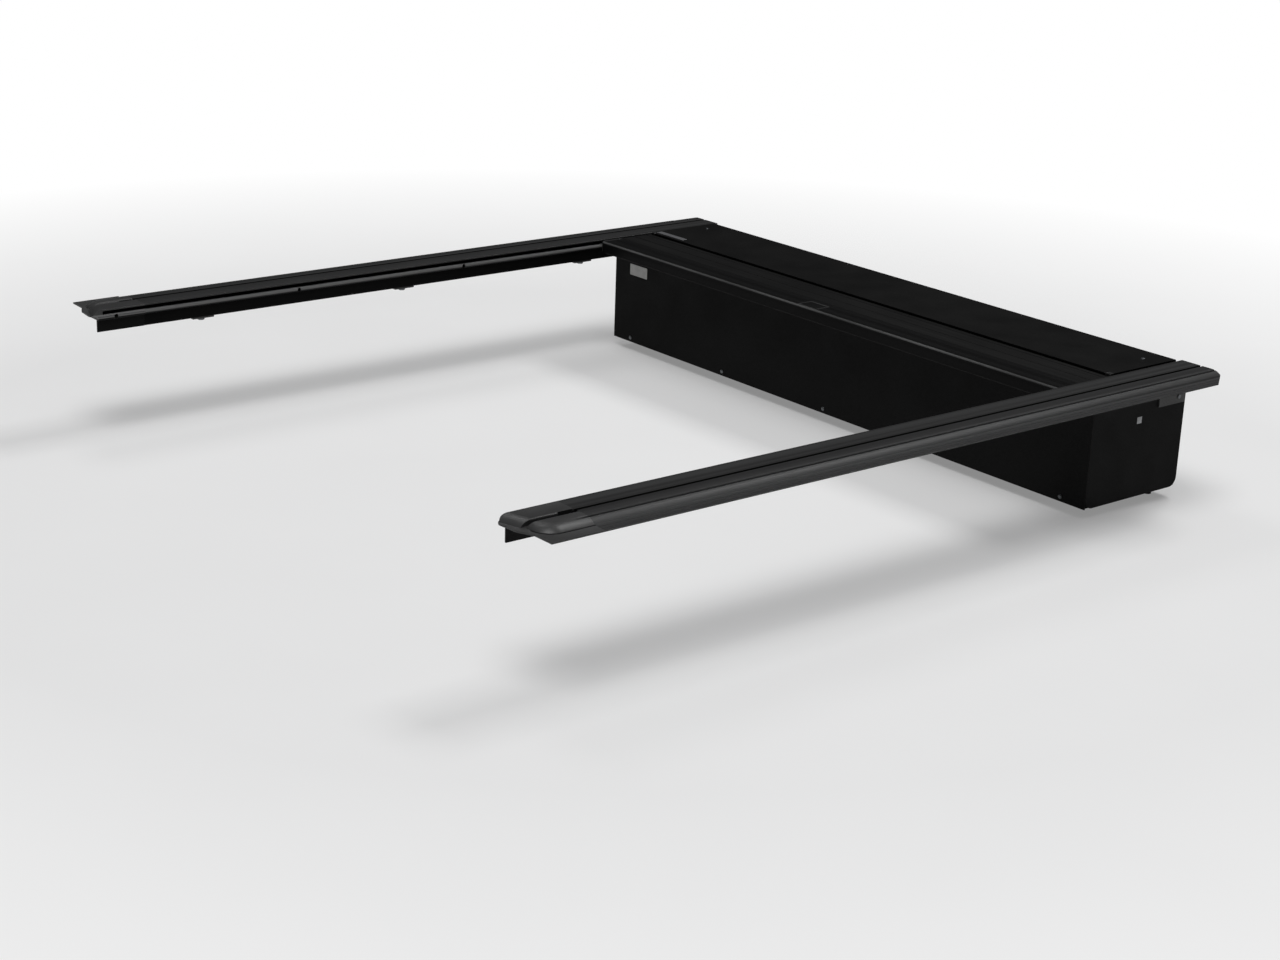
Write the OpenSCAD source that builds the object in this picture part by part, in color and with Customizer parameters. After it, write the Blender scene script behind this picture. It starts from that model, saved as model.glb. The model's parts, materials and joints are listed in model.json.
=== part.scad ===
// Retractable roll-up cover for an open cargo bed, shown rolled back into its canister.
// +X is the right side, +Y is forward to the bulkhead, +Z is up. The origin is at mid width,
// at the front end of the side rails, on the bed rails that the cover is seated on.

/* [Bed] */
// Clear width between the inner edges of the two side rails
bed_open = 1468; // [1300:1:1600]
// Length of each side rail, from its front end to the cap joint
rail_len = 1573; // [1400:1:2000]
// Length of the moulded cap, from its joint to its nose
cap_len = 110; // [100:1:140]

/* [Rail section] */
// Height of the rail top above its seat
rail_h = 16; // [15:0.1:19]
// Thickness of the rail's top plate over the curtain channel
plate_t = 2.8; // [2:0.1:3.5]
// Width of the flat top strip beside the bed opening
top_w = 47; // [45:0.5:60]
// Width of the mouth of the accessory slot
slot_w = 6; // [5:0.1:9]
// Width of the hollow under the accessory slot
slot_in_w = 18; // [16:0.1:22]
// Depth of the hollow under the accessory slot
slot_in_h = 7.8; // [6:0.1:8.5]
// Width of the flat strip outboard of the slot
strip_w = 23; // [18:0.5:30]
// Radius of the rounded shoulder
bulge_r = 35; // [30:0.5:45]
// Width of the rounded shoulder
bulge_w = 25; // [20:0.5:28]
// Width of the ribbed outer flange
flange_w = 27; // [20:0.5:45]
// Length of the slanted cut at the flange's front corner
flange_cut = 45; // [30:0.5:60]
// Height of the curtain channel
chan_h = 8.2; // [7.8:0.1:9]
// Depth of the curtain channel into the rail
chan_d = 27; // [25:0.5:30]
// Height of the lower lip under the channel
lip_h = 11.5; // [11:0.1:14]
// Height of the skirt below the lower lip
skirt_h = 25.5; // [15:0.5:40]
// Wall thickness of the rail
rail_wall = 2.5; // [2:0.1:3]
// Thickness of the foam tape under the outer flange
foam_t = 2; // [1.5:0.1:3]

/* [Clamps] */
// Clamps along each rail
clamp_count = 3; // [2:1:5]
// Length of a clamp along the rail
clamp_len = 50; // [30:1:80]
// Thickness of the bed flange that a clamp grips
grip_h = 30; // [20:1:34]
// Diameter of a clamp bolt
clamp_bolt_d = 8; // [6:1:9]

/* [Lid] */
// Gap between the rail's front end and the lid's front edge
lid_front = 13; // [8:0.5:20]
// Depth of the lid from front to rear
lid_depth = 203; // [190:1:240]
// Height of the lid above the rail top
lid_rise = 2; // [1:0.1:4]
// Thickness of the lid sheet
lid_t = 2.5; // [2:0.1:3]
// Gap between the lid and a rail
lid_gap = 4; // [2:0.1:6]

/* [Canister] */
// Depth of the canister below the seat
can_drop = 242; // [225:1:300]
// Thickness of the canister's sheet
can_t = 2; // [1.5:0.1:3]
// Thickness of an end plate
end_t = 5; // [4:0.1:6]
// Diameter of a drain spigot
drain_d = 16; // [12:0.5:20]
// Length of a hanger's leg below the seat
hang_drop = 60; // [56:1:80]

/* [Curtain] */
// Slat width, front to rear
slat_pitch = 38; // [34:0.5:42]
// Slat thickness
slat_t = 7; // [6:0.1:7.2]
// Thickness of the skin that joins the slats
skin_t = 0.9; // [0.6:0.1:1.4]
// Length of a slat end inside a rail channel
tongue = 23; // [18:0.5:24]
// Whole slats between the roll and the lead slat when the cover is open
span_slats = 4; // [3:1:4]

/* [Lead slat] */
// Distance from the lid's rear edge to the lip of the lead slat
lead_peek = 152; // [140:1:170]
// Depth of the lead slat, front to rear
lead_depth = 62; // [60:0.5:70]
// Height of the lip's face
lead_face = 25.5; // [24:0.5:32]
// Wall thickness of the lead slat
lead_wall = 3; // [2.5:0.1:3.4]
// Radius of the rounded top edge of the lip
lead_edge_r = 4; // [3:0.1:5]

/* [Latch] */
// Diameter of a latch rod
rod_d = 8; // [6:0.1:8.4]
// Throw of the crank pins
crank_r = 12; // [11:0.1:13]
// Diameter of a crank pin
crank_pin_d = 6; // [5:0.1:6.5]
// Turn of the handle, in degrees
latch_turn = 60; // [50:1:70]
// Width of the lock cover, side to side
flap_w = 57; // [50:0.5:64]
// Depth of the lock cover, front to rear
flap_d = 40; // [36:0.5:41]
// Diameter of the lock cylinder
lock_d = 13; // [11:0.1:14]

/* [Roller] */
// Outer diameter of the roller tube
tube_d = 84; // [70:1:96]
// Wall of the roller tube
tube_t = 2.5; // [2:0.1:4]
// Diameter of the fixed shaft
shaft_d = 20; // [16:0.5:22]
// Turns of the torsion spring
spring_turns = 36; // [20:1:40]
// Wire diameter of the torsion spring
spring_wire = 5; // [4:0.1:6]
// Mean diameter of the torsion spring
spring_d = 56; // [46:0.5:58]
// Length of the torsion spring
spring_span = 560; // [400:1:700]

/* [Fits] */
// Running clearance of a pin or shaft in its hole, on the radius
run_gap = 0.05; // [0.02:0.01:0.1]
// Clearance between parts that are screwed or pushed together
fit_gap = 0.2; // [0.1:0.05:0.4]
// Clearance between parts that slide past each other
slide_gap = 0.5; // [0.4:0.05:0.7]

/* [Hidden] */
$fn = 48;
// Overshoot of a cut past the face it opens
e = 1;
// Overlap that joins two shapes of one solid
weld = 0.01;
// Slack on the diameter of a screw hole, and of a threaded hole
hole_gap = 0.4;
thread_gap = 0.1;
half_open = bed_open / 2;

// Levels in the rail
chan_top = rail_h - plate_t;
chan_bot = chan_top - chan_h;
lip_bot = chan_bot - lip_h;
skirt_bot = lip_bot - skirt_h;
floor_z = foam_t + rail_wall;

// Places across the rail, measured outboard from its inner edge
slot_c = top_w + slot_w / 2;
strip_u = top_w + slot_w;
bulge_u = strip_u + strip_w;
bulge_end = bulge_u + bulge_w;
rail_w = bulge_end + flange_w;
bulge_cz = rail_h - bulge_r;
foot_z = bulge_cz + sqrt(bulge_r * bulge_r - bulge_w * bulge_w);
flange_edge_z = foam_t + 1.5;
slot_in_u = slot_c - slot_in_w / 2;
slot_floor = chan_top - slot_in_h;
// Crease along the shoulder, cut by a round of radius crease_r that sits half above it
crease_in = 0.3 * bulge_w;
crease_u = bulge_u + crease_in;
crease_r = 2.2;
crease_z = bulge_cz + sqrt(bulge_r * bulge_r - crease_in * crease_in) + crease_r / 2;
web_u = slot_in_u - rail_wall;
block_w = chan_d + 7;
nut_w = clamp_bolt_d + 6;
nut_h = lip_h - 5;
nut_u = block_w - 12;
nut_floor = lip_bot + rail_wall;
skirt_u = 6;
skirt_t = 3.5;

// Places along the rail
joint_y = -rail_len;
nose_y = joint_y - cap_len;
nose_wall = 14;
stop_y = nose_y + nose_wall;
lip_y = -(lid_front + lid_depth + lead_peek);
lead_y = lip_y + lead_depth;
lid_rear = -(lid_front + lid_depth);
can_rear = lead_y + 10;
can_front = -lid_front - lid_t - fit_gap;
block_y = lead_y + 1;
glide_in = 6;
travel = (lip_y + glide_in) - stop_y - 2 * slide_gap;

// Curtain and roll
slat_top = chan_top - slide_gap - fit_gap;
slat_bot = slat_top - slat_t;
curtain_half = half_open + tongue;
roll_y = lead_y + span_slats * slat_pitch;
// Radius of a slat corner on the first wrap, where the slat lies flat on the tube
wrap_r = sqrt(pow(tube_d / 2 + slat_t + fit_gap, 2) + pow(slat_pitch / 2, 2));
layer = slat_t + slat_pitch * slat_pitch / (8 * wrap_r) + 2 * slide_gap;
roll_slats = ceil(travel / slat_pitch) + 4;
// Angles of the slat corners, wound from the tube outward
function wrap_angles(k, a) = k > roll_slats ? [] :
  concat([a], wrap_angles(k + 1, a + 2 * asin(slat_pitch / 2 / (wrap_r + layer * a / 360))));
angles = wrap_angles(0, 0);
roll_r = wrap_r + layer * angles[roll_slats] / 360;
roll_z = slat_top - roll_r;
slat_foot = slat_t * tan(asin(slat_pitch / 2 / wrap_r)) + slide_gap;

// Canister
end_in = curtain_half + 3;
end_out = end_in + end_t;
hang_t = 3;
front_cut = tongue + 3 + end_t + hang_t + 2;
can_bot = -can_drop;
lid_top = rail_h + lid_rise;
lid_bot = lid_top - lid_t;
lid_half = half_open - lid_gap;
panel_top = slat_bot - 3;
tab_top = slat_top - slide_gap;
tab_y = [-lid_front - 37, -lid_front - 77];
tab_reach = 90;
lid_screw_d = 5;
lid_screw_x = half_open - 43;
lid_screw_y = -lid_front - 57;

// Lead slat and latch
lead_half = half_open - 6;
cap_plate = 2.8;
plug_len = 26;
plug_h = 5;
rib_w = 8;
lead_bot = slat_top - lead_face;
under_top = slat_top - lead_wall;
rod_y = lip_y + 36;
rod_z = (chan_bot + lip_bot) / 2;
rod_tip = half_open - 2;
yoke_t = 4;
yoke_h = yoke_t / 2;
disc_t = 4;
disc_r = crank_r + crank_pin_d / 2 + 3;
disc_top = rod_z - yoke_h - 0.75;
disc_bot = disc_top - disc_t;
spindle_r = 4;
pin_gap = 0.4;
pin_over = 0.8;
yoke_in = spindle_r + 1;
yoke_out = crank_r + crank_pin_d / 2 + 4;
yoke_x = crank_r * sin(latch_turn / 2);
knob_z = lead_bot;
knob_l = 24;
plate_z = rod_z + rod_d / 2 + 0.8;
plate_h = 2.6;
plate_back = 9;
plate_fore = 13;
housing_screw_y = rod_y + 9;
housing_screw_d = 5;
housing_half = 60;
foot_w = 20;
foot_x = housing_half - foot_w / 2;
tray_y0 = lip_y + lead_edge_r + 2;
tray_y1 = tray_y0 + flap_d;
tray_bot = plate_z + plate_h + fit_gap;
flap_t = 2;
flap_top = slat_top - 0.2;
tray_wall = 1.2;
tray_floor = 1;
hinge_r = 1.2;
knuckle_r = 2;
hinge_y = tray_y1 - knuckle_r - tray_wall - 0.3;
hinge_z = flap_top - knuckle_r;
lock_y = tray_y0 + lock_d / 2 + 4;
guide_w = 16;
guide_x = [2 * housing_half, lead_half - 328, lead_half - 68];
guide_r = 8;

// Roller
tube_r = tube_d / 2;
bore_r = tube_r - tube_t;
bush_r = shaft_d / 2 + 4;
hub_len = 30;
tube_half = curtain_half - 1;
anchor_len = 16;
spring_x0 = -tube_half + hub_len + anchor_len + 9;
spring_x1 = spring_x0 + spring_span;
spring_plug_len = 22;
square_d = shaft_d * 0.7;

// Extrudes a section drawn in X and Z along Y, from y0 back to y1
module along_y(y0, y1) {
  translate([0, y0, 0])
    rotate([90, 0, 0])
      linear_extrude(y0 - y1)
        children();
}

// Extrudes a section drawn in Y and Z along X, from x0 to x1
module along_x(x0, x1) {
  translate([x0, 0, 0])
    rotate([90, 0, 90])
      linear_extrude(x1 - x0)
        children();
}

// A cylinder along X from x0 to x1
module rod_x(x0, x1, r, y, z) {
  translate([x0, y, z])
    rotate([0, 90, 0])
      cylinder(h = x1 - x0, r = r);
}

// A flat rectangle given by its two corners
module rect(x0, y0, x1, y1) {
  translate([x0, y0])
    square([x1 - x0, y1 - y0]);
}

// A box given by its two corners
module box(a, b) {
  translate(a)
    cube(b - a);
}

// Places a right-hand part at the rail's inner edge, or mirrors it to the left
module on_side(s) {
  mirror([s < 0 ? 1 : 0, 0, 0])
    translate([half_open, 0, 0])
      children();
}

// A bolt along +Z from its head at z 0, with a hexagon head below
module hex_bolt(d, len) {
  cylinder(h = len, d = d);
  translate([0, 0, -0.65 * d])
    cylinder(h = 0.65 * d, d = 1.9 * d, $fn = 6);
}

// Rail

module shoulder_2d(r, u1) {
  intersection() {
    translate([bulge_u, bulge_cz])
      circle(r, $fn = 96);
    rect(strip_u, foam_t, u1, rail_h);
  }
}

module rail_top_2d() {
  edge_r = plate_t * 0.4;
  rect(edge_r, chan_top, bulge_u, rail_h);
  rect(0, chan_top, edge_r + e, rail_h - edge_r);
  translate([edge_r, rail_h - edge_r])
    circle(edge_r);
  rect(chan_d, foam_t, bulge_u, rail_h);
  shoulder_2d(bulge_r, bulge_end);
  polygon([
    [bulge_u, foam_t], [rail_w, foam_t], [rail_w, flange_edge_z - 0.6],
    [rail_w - 0.8, flange_edge_z], [bulge_end, foot_z], [bulge_u, foot_z]
  ]);
}

module rail_hollows_2d() {
  rect(-e, chan_bot, chan_d, chan_top);
  rect(chan_d + rail_wall, floor_z, web_u, chan_top);
  rect(slot_in_u, slot_floor, slot_in_u + slot_in_w, chan_top);
  rect(top_w, chan_top - e, strip_u, rail_h + e);
  intersection() {
    shoulder_2d(bulge_r - rail_wall, bulge_end - rail_wall);
    rect(slot_in_u + slot_in_w + rail_wall, floor_z, rail_w, chan_top);
  }
}

module rail_grooves_2d() {
  slope = (flange_edge_z - foot_z) / flange_w;
  for (k = [1 : 2])
    translate([bulge_end + k * flange_w / 3, foot_z + slope * k * flange_w / 3])
      circle(0.7, $fn = 16);
  translate([crease_u, crease_z])
    circle(crease_r);
}

module rail_block_2d() {
  nose_r = lip_h / 2;
  difference() {
    union() {
      translate([nose_r, chan_bot - nose_r])
        circle(nose_r);
      rect(nose_r, lip_bot, block_w, chan_bot);
      rect(skirt_u, skirt_bot + skirt_t / 2, skirt_u + skirt_t, lip_bot + e);
      translate([skirt_u + skirt_t / 2, skirt_bot + skirt_t / 2])
        circle(skirt_t / 2);
    }
    rect(nut_u - nut_w / 2, nut_floor, nut_u + nut_w / 2, nut_floor + nut_h);
    rect(nut_u - clamp_bolt_d / 2 - 0.5, lip_bot - e, nut_u + clamp_bolt_d / 2 + 0.5, nut_floor + e);
  }
}

// Places along the rail where the latch rods can lock, from fully open to fully closed
latch_stops = [for (k = [0 : 3]) rod_y - travel * k / 3];

module latch_holes() {
  for (y = latch_stops)
    rod_x(-e, skirt_u + 6.5, rod_d / 2 + 0.3, y, rod_z);
}

module rail(s) {
  color("#2b2d2f")
    on_side(s)
      difference() {
        union() {
          along_y(0, joint_y)
            difference() {
              rail_top_2d();
              rail_hollows_2d();
              rail_grooves_2d();
            }
          along_y(block_y, joint_y)
            rail_block_2d();
        }
        box([-e, block_y, lip_bot], [front_cut, e, chan_top]);
        linear_extrude(rail_h + e)
          polygon([[bulge_end - 4, e], [rail_w + e, e], [rail_w + e, -flange_cut]]);
        latch_holes();
        translate([cap_screw_u, cap_screw_y, 0])
          cylinder(h = floor_z + e, d = cap_screw_d + hole_gap);
        for (y = hang_screw_y)
          translate([slot_c, y, 0])
            cylinder(h = slot_floor + e, d = hang_screw_d + hole_gap);
      }
}

// Rail cap

cap_screw_d = 4.8;
cap_screw_u = bulge_u + 5;
cap_screw_y = joint_y + 16;
base_z = foam_t + 3;
// Fall of the top strip at the nose: its radius, slant in plan and start
nose_r = 35;
nose_slant = 16;
fall_y = nose_y + 16;
nose_over = 20;
// Rounded inner corner of the nose
corner_r = 14;
corner_y = nose_y + 4;
lip_front = nose_y + 2;
strip_edge_r = 3;
// Bullet-shaped end of the shoulder, revolved about an upright axis
bullet_flat = 11;
bullet_edge_r = 8;
bullet_reach = bullet_flat + bulge_w;
bullet_u = bulge_u - bullet_flat;
bullet_y = nose_y + 12 + bullet_reach;
foot_groove = 2.5;
crease_run = 46;
crease_rise = 1.6;
gate_w = slot_w + 6;
gate_len = 28;
gate_back = 4;
cap_tongue = 30;

// Shape of the top strip's nose in side view, slanted in plan
module nose_cut() {
  translate([0, fall_y, 0])
    rotate([0, 0, nose_slant])
      along_x(-2 * nose_over, rail_w * 1.5)
        union() {
          translate([0, rail_h - nose_r])
            circle(nose_r, $fn = 96);
          rect(0, skirt_bot - e, cap_len * 1.6, rail_h);
        }
}

// Plan of the top strip, with its inner corner rounded
module strip_plan() {
  translate([0, 0, skirt_bot - e])
    linear_extrude(rail_h - skirt_bot + 2 * e)
      union() {
        rect(-e, corner_y, top_w + e, joint_y + e);
        rect(corner_r, corner_y - corner_r, top_w + e, corner_y + e);
        translate([corner_r, corner_y])
          circle(corner_r);
      }
}

// Section of the cap's top strip and of the web outboard of the curtain channel
module strip_2d() {
  edge_r = plate_t * 0.4;
  rect(edge_r, foam_t, top_w - strip_edge_r, rail_h);
  rect(0, foam_t, top_w, rail_h - strip_edge_r);
  rect(0, foam_t, edge_r + e, rail_h - edge_r);
  translate([edge_r, rail_h - edge_r])
    circle(edge_r);
  translate([top_w - strip_edge_r, rail_h - strip_edge_r])
    circle(strip_edge_r);
}

// Section of the cap's lower lip, leaning back at the top, and of the skirt below it
module cap_lip_2d() {
  lean = 2.5;
  polygon([
    [lean, chan_bot + e], [lean, chan_bot], [0, chan_bot - 8], [0, lip_bot + 1.5],
    [1.5, lip_bot], [block_w, lip_bot], [block_w, chan_bot + e]
  ]);
  rect(skirt_u, skirt_bot, skirt_u + skirt_t, lip_bot + e);
}

module cap_strip() {
  intersection() {
    difference() {
      union() {
        along_y(joint_y, nose_y - nose_over)
          strip_2d();
        along_y(joint_y, corner_y)
          cap_lip_2d();
      }
      box([-nose_over, stop_y, chan_bot], [chan_d, joint_y + e, chan_top]);
      latch_holes();
    }
    nose_cut();
    strip_plan();
  }
}

// Half section of the bullet's nose, from its upright axis outward
module bullet_nose_2d() {
  rect(0, foam_t, bullet_flat, rail_h);
  translate([-bullet_u, 0])
    intersection() {
      shoulder_2d(bulge_r, bulge_end);
      rect(bulge_u - e, foam_t, bulge_end, rail_h);
    }
}

module cap_bullet() {
  intersection() {
    along_y(joint_y, nose_y)
      union() {
        rect(strip_u, foam_t, bulge_u, rail_h - bullet_edge_r);
        rect(strip_u + bullet_edge_r, foam_t, bulge_u, rail_h);
        translate([strip_u + bullet_edge_r, rail_h - bullet_edge_r])
          circle(bullet_edge_r);
        shoulder_2d(bulge_r, bulge_end);
      }
    union() {
      box([strip_u - e, bullet_y, 0], [rail_w, joint_y + e, rail_h + e]);
      translate([bullet_u, bullet_y, 0])
        rotate_extrude($fn = 96)
          bullet_nose_2d();
      along_x(strip_u - e, bullet_u)
        translate([bullet_y, 0])
          mirror([1, 0])
            bullet_nose_2d();
    }
  }
}

// Plan of the bullet's outer side and nose, grown by g
module bullet_plan(g) {
  rect(bullet_u, bullet_y, bulge_end + g, joint_y + e);
  translate([bullet_u, bullet_y])
    circle(bullet_reach + g, $fn = 96);
}

// Shadow groove round the bullet's foot
module bullet_groove() {
  depth = 1.4;
  translate([0, 0, base_z - depth])
    linear_extrude(depth + e)
      intersection() {
        difference() {
          bullet_plan(foot_groove);
          bullet_plan(0);
        }
        rect(bullet_u, nose_y, rail_w, joint_y + e);
      }
}

// Base of the cap, with a thin lip round the nose
module cap_base() {
  translate([0, 0, foam_t])
    linear_extrude(base_z - foam_t)
      union() {
        polygon([
          [block_w - e, joint_y], [rail_w, joint_y], [rail_w, nose_y + 7], [bulge_end - 17, nose_y + 6],
          [strip_u + 1, lip_front - 10], [corner_r, lip_front - corner_r], [corner_r, stop_y],
          [block_w - e, stop_y]
        ]);
        translate([corner_r, lip_front])
          circle(corner_r);
        rect(0, lip_front, corner_r + e, stop_y);
      }
}

module rail_cap(s) {
  color("#232426")
    on_side(s)
      difference() {
        union() {
          cap_strip();
          cap_bullet();
          cap_base();
          translate([bulge_u - 3, joint_y - e, floor_z + fit_gap])
            cube([13, cap_tongue + e, 5.8]);
        }
        bullet_groove();
        translate([crease_u, joint_y, crease_z])
          rotate([90 - atan(crease_rise / crease_run), 0, 0])
            cylinder(h = crease_run, r = crease_r);
        translate([slot_c - gate_w / 2, joint_y - gate_back - gate_len, base_z])
          cube([gate_w, gate_len, rail_h]);
        translate([cap_screw_u, cap_screw_y, 0])
          cylinder(h = floor_z + 5, d = cap_screw_d + thread_gap);
      }
}

module cap_screws() {
  color("#55585b")
    for (s = [-1, 1])
      on_side(s)
        translate([cap_screw_u, cap_screw_y, 0]) {
          translate([0, 0, fit_gap])
            cylinder(h = foam_t - fit_gap, d = 1.9 * cap_screw_d);
          cylinder(h = floor_z + 4, d = cap_screw_d);
        }
}

module rail_foam(s) {
  color("#18191a")
    on_side(s)
      along_y(-flange_cut - 10, joint_y + 40)
        rect(bulge_u - 2, 0, rail_w - 6, foam_t);
}

// Clamps

clamp_y = [for (k = [0 : clamp_count - 1])
  block_y - 110 - k * (rail_len + block_y - 250) / (clamp_count - 1)];
jaw_top = -grip_h;
jaw_t = 6;
clamp_nut_h = 5;
clamp_heel = skirt_u + skirt_t + fit_gap;
clamp_out = nut_u + 24;

module clamps(s) {
  color("#3a3c3e")
    on_side(s)
      for (y = clamp_y)
        difference() {
          along_y(y + clamp_len / 2, y - clamp_len / 2)
            union() {
              rect(clamp_heel, jaw_top - jaw_t, clamp_out, jaw_top);
              rect(clamp_heel, jaw_top - e, clamp_heel + 4.5, lip_bot - 1.5);
              polygon([
                [clamp_out - 8, jaw_top - e], [clamp_out, jaw_top - e],
                [clamp_out, jaw_top + 4], [clamp_out - 4, jaw_top + 4]
              ]);
            }
          translate([nut_u, y, jaw_top - jaw_t - e])
            cylinder(h = jaw_t + 2 * e, d = clamp_bolt_d + thread_gap);
        }
}

module clamp_bolts(s) {
  color("#6b6e70")
    on_side(s)
      for (y = clamp_y)
        translate([nut_u, y, jaw_top - jaw_t])
          hex_bolt(clamp_bolt_d, nut_floor + nut_h - 0.5 - jaw_top + jaw_t);
}

module clamp_nuts(s) {
  color("#6b6e70")
    on_side(s)
      for (y = clamp_y)
        difference() {
          translate([nut_u - nut_w / 2 + fit_gap, y - nut_w / 2, nut_floor])
            cube([nut_w - 2 * fit_gap, nut_w, clamp_nut_h]);
          translate([nut_u, y, nut_floor - e])
            cylinder(h = clamp_nut_h + 2 * e, d = clamp_bolt_d + thread_gap);
        }
}

// Canister

module canister_tray() {
  y0 = can_rear + can_t + fit_gap;
  color("#1b1c1d")
    difference() {
      along_x(-end_in + fit_gap, end_in - fit_gap)
        union() {
          rect(can_front - can_t, can_bot, can_front, slat_top - 2);
          rect(y0, can_bot, can_front, can_bot + can_t);
          rect(y0, can_bot, y0 + can_t, can_bot + 18);
          for (k = [1 : 3])
            translate([y0 + (can_front - y0) * k / 4, can_bot + can_t])
              circle(3);
        }
      for (s = [-1, 1])
        translate([s * drain_x, drain_y, can_bot - e])
          cylinder(h = can_t + 2 * e, d = drain_d - 4);
    }
}

drain_x = end_in - 40;
drain_y = can_front - 30;
drain_len = 24;

module drain(s) {
  color("#151616")
    difference() {
      union() {
        translate([s * drain_x, drain_y, can_bot - drain_len])
          cylinder(h = drain_len - 3, d = drain_d);
        translate([s * drain_x, drain_y, can_bot - 3])
          cylinder(h = 3, d = drain_d + 12);
      }
      translate([s * drain_x, drain_y, can_bot - drain_len - e])
        cylinder(h = drain_len + 2 * e, d = drain_d - 4);
    }
}

rivet_z = can_bot + 10;
rivet_d = 5;
rivet_x = [for (k = [-2 : 2]) k * (end_in - 60) / 2];

module canister_rear_panel() {
  color("#161718")
    difference() {
      union() {
        along_x(-end_out, end_out)
          rect(can_rear, can_bot, can_rear + can_t, panel_top);
        along_x(-end_in + fit_gap, end_in - fit_gap)
          rect(can_rear, panel_top - can_t, can_rear + 14, panel_top);
      }
      for (x = rivet_x)
        translate([x, can_rear - e, rivet_z])
          rotate([-90, 0, 0])
            cylinder(h = can_t + 2 * e, d = rivet_d + fit_gap);
    }
}

module panel_rivets() {
  color("#4a4c4e")
    for (x = rivet_x)
      translate([x, can_rear, rivet_z])
        rotate([-90, 0, 0]) {
          translate([0, 0, -1.6])
            cylinder(h = 1.6, d1 = 1.2 * rivet_d, d2 = 2 * rivet_d);
          cylinder(h = can_t + fit_gap, d = rivet_d);
        }
}

module end_plate(s) {
  color("#1d1e1f")
    mirror([s < 0 ? 1 : 0, 0, 0])
      difference() {
        union() {
          along_x(end_in, end_out)
            union() {
              rect(can_rear + can_t + fit_gap, can_bot + 20, can_front, tab_top);
              rect(can_rear + can_t + fit_gap + 20, can_bot, can_front - 20, can_bot + 40);
              for (y = [can_rear + can_t + fit_gap + 20, can_front - 20])
                translate([y, can_bot + 20])
                  circle(20);
            }
          box([half_open - tab_reach, tab_y[1], tab_top - 2.5], [end_in + e, tab_y[0], tab_top]);
        }
        translate([end_in - e, roll_y - square_d / 2 - fit_gap, roll_z - square_d / 2 - fit_gap])
          cube([end_t + 2 * e, square_d + 2 * fit_gap, square_d + 2 * fit_gap]);
        translate([lid_screw_x, lid_screw_y, tab_top - 5])
          cylinder(h = 10, d = lid_screw_d + fit_gap);
        for (z = hang_bolt_z)
          rod_x(end_in - e, end_out + e, hang_bolt_d / 2 + run_gap, hang_bolt_y, z);
      }
}

module canister_lid() {
  edge = lid_t;
  y0 = lid_rear;
  y1 = -lid_front;
  color("#1a1b1c")
    difference() {
      union() {
        along_x(-lid_half, lid_half)
          union() {
            rect(y0 + edge, lid_bot, y1 - edge, lid_top);
            for (y = [y0 + edge, y1 - edge])
              intersection() {
                translate([y, lid_bot])
                  circle(edge);
                rect(y0, lid_bot, y1, lid_top);
              }
            rect(y0, slat_top + slide_gap, y0 + lid_t, lid_bot + weld);
            rect(y1 - lid_t, slat_bot - 14, y1, lid_bot + weld);
          }
        for (s = [-1, 1])
          translate([s * lid_screw_x, lid_screw_y, tab_top])
            cylinder(h = lid_bot - tab_top + 0.5, d = 16);
      }
      for (s = [-1, 1])
        translate([s * lid_screw_x, lid_screw_y, tab_top - e])
          cylinder(h = 20, d = lid_screw_d + fit_gap);
      for (s = [-1, 1])
        translate([s * lid_half - tab_inset, y0 - e, slat_top])
          cube([2 * tab_inset, tab_deep + e, lid_top]);
    }
}

tab_inset = 14;
tab_deep = 12;

module lid_screws() {
  color("#3d4043")
    for (s = [-1, 1])
      translate([s * lid_screw_x, lid_screw_y, 0]) {
        translate([0, 0, tab_top - 4])
          cylinder(h = lid_top - tab_top + 4, d = lid_screw_d);
        translate([0, 0, lid_top])
          difference() {
            cylinder(h = 2, d1 = 2 * lid_screw_d, d2 = 1.6 * lid_screw_d);
            translate([0, 0, 0.8])
              cylinder(h = 2, d = 3.4, $fn = 6);
          }
      }
}

// Moulded corner piece that closes the rear corner of the lid
module lid_tab(s) {
  color("#202122")
    mirror([s < 0 ? 1 : 0, 0, 0])
      difference() {
        translate([lid_half - tab_inset + fit_gap, lid_rear, slat_top + slide_gap])
          cube([tab_inset - fit_gap, tab_deep - fit_gap, lid_top - slat_top - slide_gap]);
        translate([lid_half - tab_inset, lid_rear - e, lid_top])
          rotate([0, 45, 0])
            cube([1.4, tab_deep + 2 * e, 1.4]);
        box([lid_half - 3, lid_rear - e, lid_top - 1], [lid_half + e, lid_rear + 3, lid_top + e]);
      }
}

module lid_wiper() {
  y0 = lid_rear + lid_t + tab_deep;
  wiper_z = slat_top + fit_gap + 0.1;
  color("#111212")
    along_x(-lid_half + 2, lid_half - 2)
      polygon([
        [y0, lid_bot], [y0, wiper_z], [y0 + 1.2, wiper_z], [y0 + 4, lid_bot - 1.3],
        [y0 + 9, lid_bot - 1.3], [y0 + 9, lid_bot]
      ]);
}

module bulkhead_seal() {
  color("#111212")
    along_x(-lid_half, lid_half)
      union() {
        rect(-lid_front, slat_bot - 10, -lid_front + 3, lid_bot - 4);
        translate([-lid_front + 5.5, slat_bot])
          difference() {
            circle(5);
            circle(3.4);
          }
      }
}

// Hangers that carry the canister on the rails

hang_bolt_d = 8;
hang_bolt_y = can_front - 25;
hang_bolt_z = [-hang_drop / 3, -hang_drop + 14];
hang_screw_d = 6;
hang_nut_w = 16;
hang_nut_h = 4.5;
hang_screw_y = [can_front - 20, can_front - 70];
hang_y = [can_front - 5, can_front - 85];

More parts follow.
